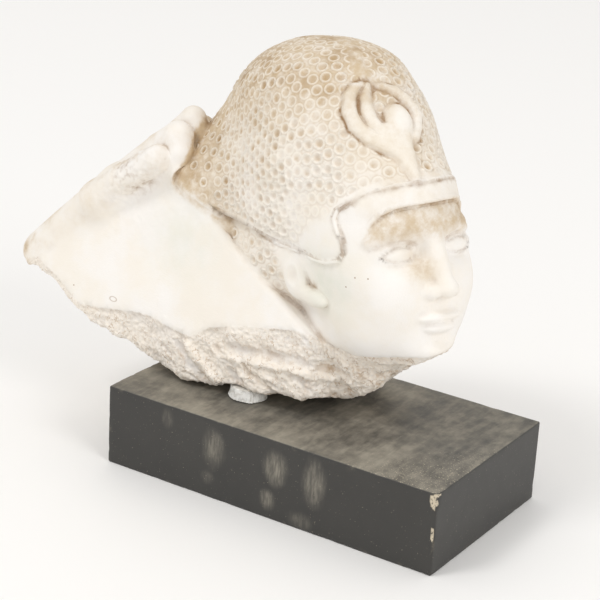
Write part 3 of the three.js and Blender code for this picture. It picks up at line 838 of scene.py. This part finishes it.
def plaster_finish():
    finish = Finish("aged plaster")
    dirt_and_shade, rim_highlights, crease_shade, patina, grey_shade, broken, hollows, bowl_dirt_and_shade = [
        finish.node("Attribute", {"attribute_name": name}, output=2)
        for name in ("dirt_and_shade", "rim_highlights", "crease_shade", "patina", "grey_shade", "broken", "hollows", "bowl_dirt_and_shade")
    ]
    clouds = finish.grain(0.03, 4.0, 0.6)
    blotches = finish.grain(0.009, 5.0, 0.65)
    mottle = finish.grain(0.0035, 4.0, 0.65)
    specks = finish.grain(0.0012, 3.0, 0.6)
    base = finish.mix(WEB_WHITE, PLASTER, clouds.between(0.35, 0.65))
    base = finish.mix(base, SHADE_GREEN_GREY, grey_shade * (0.4 + 0.5 * blotches.between(0.3, 0.7)))
    aged = patina * (0.38 + 0.4 * blotches.between(0.3, 0.7) + 0.3 * mottle.between(0.35, 0.68))
    base = finish.mix(base, TAN, (aged + 0.1 * clouds.between(0.5, 0.75)).between(0.0, 1.2))
    brownest = (patina - 0.7) * clouds.between(0.4, 0.62) * blotches.between(0.35, 0.65)
    base = finish.mix(base, BROWN, brownest)
    # Gold in each ring's bowl: soiling and painted shade
    base = finish.mix(base, GOLD, bowl_dirt_and_shade * (0.6 + 0.45 * mottle))
    # Painted highlight on the raised edges and coils
    base = finish.mix(base, HIGHLIGHT_WHITE, rim_highlights * 0.65)
    # Brown of real soiling and of painted shade, with the painted shade of each crease
    grime_and_shade = (dirt_and_shade + crease_shade * 0.75) * (0.5 + 0.7 * blotches.between(0.25, 0.7))
    base = finish.mix(base, BROWN, grime_and_shade.between(0.05, 1.5))
    chalk = finish.mix(CHALK, WEB_WHITE, (0.5 * specks + 0.5 * mottle).between(0.4, 0.62) * 0.5)
    base = finish.mix(base, chalk, broken * 0.85)
    veins = 1 - ((blotches - 0.5) * (blotches - 0.5)).between(0.0, 0.0005)
    base = finish.mix(base, BREAK_TAN, broken * veins * mottle.between(0.4, 0.6) * 0.7)
    # Painted tan shade in the low spots of the break
    base = finish.mix(base, BREAK_TAN, hollows * (0.4 + 0.7 * blotches.between(0.35, 0.6)))
    for pit in PITS:
        pit = tuple(c * MM for c in pit)
        far = finish.node("VectorMath", {"operation": "DISTANCE"}, {0: finish.place(), 1: pit}, 1)
        base = finish.mix(base, BROWN, (1 - far.between(0.0002, 0.0005)) * 0.9)
    at = finish.node("SeparateXYZ", None, {"Vector": finish.place()}).socket.node.outputs
    x, y, z = [Value(finish, socket) for socket in at]
    bubble_x, bubble_z, half_width, half_height = [size * MM for size in CAST_BUBBLE]
    across, along = (x - bubble_x) / half_width, (z - bubble_z) / half_height
    far = (across * across + along * along) ** 0.5
    bubble = far.between(0.62, 0.85) * (1 - far.between(0.95, 1.2)) * (y * -1).between(0.01, 0.015)
    base = finish.mix(base, BROWN, bubble * 0.45)
    fine = specks * 0.5 + finish.grain(0.0005, 2.0, 0.6) * 0.5
    fine = fine + broken * (mottle * 4 + specks * 2.5 - veins * 1.5)
    bump = finish.node("Bump", None, {"Strength": 0.45, "Distance": 0.0004, "Height": fine})
    roughness = 0.78 + 0.14 * broken - 0.1 * patina
    return finish.surface(Base_Color=base, Roughness=roughness, Normal=bump)


cast.data.materials.append(plaster_finish())
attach(cast, "root")
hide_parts("plaster_cast")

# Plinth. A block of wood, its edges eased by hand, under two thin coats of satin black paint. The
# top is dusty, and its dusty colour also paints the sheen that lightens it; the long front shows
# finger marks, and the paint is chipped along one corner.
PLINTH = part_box("plinth")
EASED = 0.8 * MM
# Chips on the near corner's edge: x, z, half width and half height, in millimetres
CORNER_CHIPS = [(88.9, 35.4, 1.5, 3.6), (88.9, 20.5, 1.1, 3.2), (89.3, 38.8, 2, 1.2)]


def plinth_block():
    bm = bmesh.new()
    low, high = PLINTH
    size = [high[i] - low[i] for i in range(3)]
    bmesh.ops.create_cube(bm, size=1)
    bmesh.ops.scale(bm, vec=size, verts=bm.verts)
    bmesh.ops.translate(bm, vec=[(high[i] + low[i]) / 2 for i in range(3)], verts=bm.verts)
    bmesh.ops.bevel(bm, geom=bm.edges[:], offset=EASED, offset_type="OFFSET", affect="EDGES",
                    segments=3, profile=0.5, material=-1)
    for axis in range(3):
        count = int(size[axis] / (2.2 * MM))
        for i in range(1, count):
            at = [0, 0, 0]
            at[axis] = low[axis] + size[axis] * i / count
            normal = [0, 0, 0]
            normal[axis] = 1
            geometry = bm.verts[:] + bm.edges[:] + bm.faces[:]
            bmesh.ops.bisect_plane(bm, geom=geometry, dist=1e-7, plane_co=at, plane_no=normal)
    return bm


def wear_edges(mesh):
    """Dents the eased edges a little and takes paint and wood off one upright corner."""
    points = vertices_of(mesh)
    low, high = [np.array(corner) / MM for corner in PLINTH]
    inside = np.minimum(points - low, high - points)
    near = np.sort(inside, axis=1)
    at_edge = 1 - ramp(near[:, 1], 0.4, 2.6)
    dents = 0.16 * ramp(scattered(points, 7, 3, 13), 0.1, 0.7) * at_edge
    middle = (low + high) / 2
    inward = np.clip(middle - points, -1, 1)
    chips = np.zeros(len(points))
    for x, z, width, height in CORNER_CHIPS:
        far = np.hypot((points[:, 0] - x) / width, (points[:, 2] - z) / height)
        far = far + 0.1 * np.maximum(points[:, 1] - low[1], 0) ** 2
        chips = np.maximum(chips, 1 - ramp(far + 0.5 * scattered(points, 1.5, 2, 14), 0.7, 1.1))
    points += inward * (dents + 0.7 * chips * ramp(-near[:, 1], -2.5, 0))[:, None]
    move_vertices(mesh, points)
    store(mesh, "edge", 0.35 * at_edge)
    store(mesh, "chips", chips)


plinth = new_piece("black_plinth", plinth_block())
wear_edges(plinth.data)
for polygon in plinth.data.polygons:
    polygon.use_smooth = True
BLACK = tone(46, 45, 43)
# Colour of the dusting on the top and of the painted sheen on it
DUST_AND_SHEEN = tone(160, 153, 138)
CREAM_WOOD = tone(205, 192, 168)
# Finger marks on the long front: x, z, half width, half height and strength
FINGER_MARKS = [
    (-28, 25.5, 7.5, 11, 0.7), (6.5, 26, 7.5, 10.5, 1), (27.5, 25, 7, 14, 0.8), (3, 9.5, 5, 6, 0.8),
    (21, 4.5, 8, 5, 0.4), (-31, 10, 4.5, 4, 0.3), (-55, 33, 4, 6, 0.3),
]


def painted_finish():
    finish = Finish("satin black paint")
    place = finish.place()
    at = finish.node("SeparateXYZ", None, {"Vector": place})
    x, y, z = [Value(finish, at.socket.node.outputs[i]) for i in range(3)]
    facing = finish.node("NewGeometry", output=1)
    up = Value(finish, finish.node("SeparateXYZ", None, {"Vector": facing}).socket.node.outputs[2])
    stretched = finish.node("Mapping", None, {"Vector": place, "Scale": (1, 0.25, 1)})
    clouds = finish.grain(0.03, 5.0, 0.65)
    blotches = finish.grain(0.01, 5.0, 0.65)
    brushed = finish.grain(0.0035, 4.0, 0.6, stretched)
    specks = finish.grain(0.0008, 2.0, 0.6)
    # Dusty and lighter on the top only: real dusting, with the satin paint's sheen painted in the same
    # colour
    dust_and_sheen = 0.3 + 0.5 * clouds.between(0.35, 0.65) + 0.3 * blotches.between(0.35, 0.7)
    dust_and_sheen = up.between(0.5, 1.0) * (dust_and_sheen + 0.25 * brushed.between(0.4, 0.65) - 0.12)
    marks = None
    front = (y * -1).between(0.0483, 0.0488)
    ridges = finish.node("Mapping", None, {"Vector": place, "Scale": (1, 1, 0.2)})
    fibres = finish.grain(0.0014, 3.0, 0.6, ridges)
    for mark_x, mark_z, half_width, half_height, strength in FINGER_MARKS:
        across = (x - mark_x * MM) / (half_width * MM)
        along = (z - mark_z * MM) / (half_height * MM)
        far = (across * across + along * along) ** 0.5 + 0.5 * (blotches - 0.5)
        mark = (1 - far.between(0.25, 1.1)) * strength
        marks = mark if marks is None else marks + mark
    smudge = marks * front * (0.35 + 0.75 * fibres.between(0.35, 0.7))
    base = finish.mix(BLACK, DUST_AND_SHEEN, dust_and_sheen * 0.8 + smudge * 0.6 + 0.06 * clouds)
    edge = finish.node("Attribute", {"attribute_name": "edge"}, output=2)
    chips = finish.node("Attribute", {"attribute_name": "chips"}, output=2)
    rubbed = edge * blotches.between(0.55, 0.75)
    bare = chips.between(0.25, 0.6) * specks.between(0.3, 0.5)
    base = finish.mix(base, CREAM_WOOD, rubbed * 0.5 + bare)
    corner = (x * 1.2 - y).between(0.08, 0.13) * up.between(0.5, 1)
    speck = specks.between(0.7, 0.74) * 0.5 + specks.between(0.6, 0.66) * corner
    base = finish.mix(base, CREAM_WOOD, speck * 0.75)
    roughness = 0.42 + 0.25 * dust_and_sheen + 0.12 * blotches
    height = blotches * 0.5 + brushed * 0.2 + specks * 0.3
    bump = finish.node("Bump", None, {"Strength": 0.2, "Distance": 0.0002, "Height": height})
    return finish.surface(Base_Color=base, Roughness=roughness, Normal=bump)


plinth.data.materials.append(painted_finish())
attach(plinth, "root")
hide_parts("plinth")

# Filler plug. A thumb of white filler pressed between the plinth and the foot of the cast, to hold
# it. It was smoothed once with a finger and left uneven.
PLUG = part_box("filler_plug")
FLUTES, FLUTE_DEPTH = 46, 0.018
FLARE = 0.12


def plug_lump():
    """A squat stub with a flat top and a flared foot, its side drawn into upright flutes."""
    bm = bmesh.new()
    low, high = PLUG
    bmesh.ops.create_uvsphere(bm, u_segments=180, v_segments=60, radius=0.5)
    for vertex in bm.verts:
        place = vertex.co
        level = max(min(place.z * 1.5, 0.5), -0.5)
        flat = math.hypot(place.x, place.y)
        angle = math.atan2(place.y, place.x)
        width = min(0.5, flat * 1.5)
        flare = 1 - FLARE * (level + 0.5)
        rough = noise.noise(Vector((place.x * 5, place.y * 5, 0)))
        flutes = FLUTE_DEPTH * math.sin(FLUTES * angle + 5 * rough) * (width / 0.5) ** 4
        width *= flare * (0.95 + 0.07 * rough) + flutes
        share = width / flat if flat > 1e-6 else 0
        level += 0.03 * noise.noise(place * 9)
        vertex.co = Vector((place.x * share, place.y * share, level))
    size = [(high[i] - low[i]) * (0.96, 0.96, 0.92)[i] for i in range(3)]
    bmesh.ops.scale(bm, vec=size, verts=bm.verts)
    bmesh.ops.translate(bm, vec=[(high[i] + low[i]) / 2 for i in range(3)], verts=bm.verts)
    return bm


plug = new_piece("white_filler", plug_lump())
for polygon in plug.data.polygons:
    polygon.use_smooth = True


def filler_finish():
    finish = Finish("white filler")
    grain = finish.grain(0.002, 4.0, 0.6)
    base = finish.mix(tone(244, 242, 237), tone(214, 211, 203), grain.between(0.4, 0.7))
    bump = finish.node("Bump", None, {"Strength": 0.5, "Distance": 0.0005, "Height": grain})
    return finish.surface(Base_Color=base, Roughness=0.85, Normal=bump)


plug.data.materials.append(filler_finish())
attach(plug, "root")
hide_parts("filler_plug")

# Floor, light and camera. A pale seamless floor, one large soft light high on the left in front, a
# weaker one on the right, and bright even surroundings.
bm = bmesh.new()
bmesh.ops.create_grid(bm, x_segments=1, y_segments=1, size=4)
floor = new_piece("floor", bm)
floor_finish = Finish("pale floor")
floor.data.materials.append(floor_finish.surface(Base_Color=tone(252, 250, 247), Roughness=0.6))
LIT = (-0.04, 0, 0.1)


def soft_light(name, at, size, power):
    lamp = bpy.data.lights.new(name, "AREA")
    lamp.size, lamp.energy = size, power
    light = bpy.data.objects.new(name, lamp)
    light.location = at
    light.rotation_euler = (Vector(LIT) - Vector(at)).to_track_quat("-Z", "Y").to_euler()
    bpy.context.scene.collection.objects.link(light)


soft_light("main softbox", (-1.6, -2.4, 4.0), 1.2, 54)
soft_light("side softbox", (2.8, -0.9, 1.9), 1.2, 25)
world = bpy.data.worlds.new("studio")
world.use_nodes = True
world.node_tree.nodes["Background"].inputs["Color"].default_value = (1, 1, 1, 1)
world.node_tree.nodes["Background"].inputs["Strength"].default_value = 0.76
bpy.context.scene.world = world
bpy.context.scene.view_settings.view_transform = "Standard"

CAMERA_AZIMUTH = math.radians(32.3)
CAMERA_ELEVATION = math.radians(20.8)
CAMERA_ROLL = math.radians(3.27)
CAMERA_DISTANCE = 0.9
CAMERA_SHIFT = (-0.00892, 0.0862)
FOCAL_PIXELS = 1872
PHOTO_PIXELS = 600
SENSOR = 36
back = Vector((
    math.sin(CAMERA_AZIMUTH) * math.cos(CAMERA_ELEVATION),
    -math.cos(CAMERA_AZIMUTH) * math.cos(CAMERA_ELEVATION),
    math.sin(CAMERA_ELEVATION),
))
level = Vector((math.cos(CAMERA_AZIMUTH), math.sin(CAMERA_AZIMUTH), 0))
steep = back.cross(level)
right = level * math.cos(CAMERA_ROLL) + steep * math.sin(CAMERA_ROLL)
up = steep * math.cos(CAMERA_ROLL) - level * math.sin(CAMERA_ROLL)
lens = bpy.data.cameras.new("camera")
lens.sensor_width = SENSOR
lens.lens = FOCAL_PIXELS / PHOTO_PIXELS * SENSOR
camera = bpy.data.objects.new("camera", lens)
camera.matrix_world = Matrix((right, up, back)).transposed().to_4x4()
camera.location = right * CAMERA_SHIFT[0] + up * CAMERA_SHIFT[1] + back * CAMERA_DISTANCE
bpy.context.scene.collection.objects.link(camera)
bpy.context.scene.camera = camera
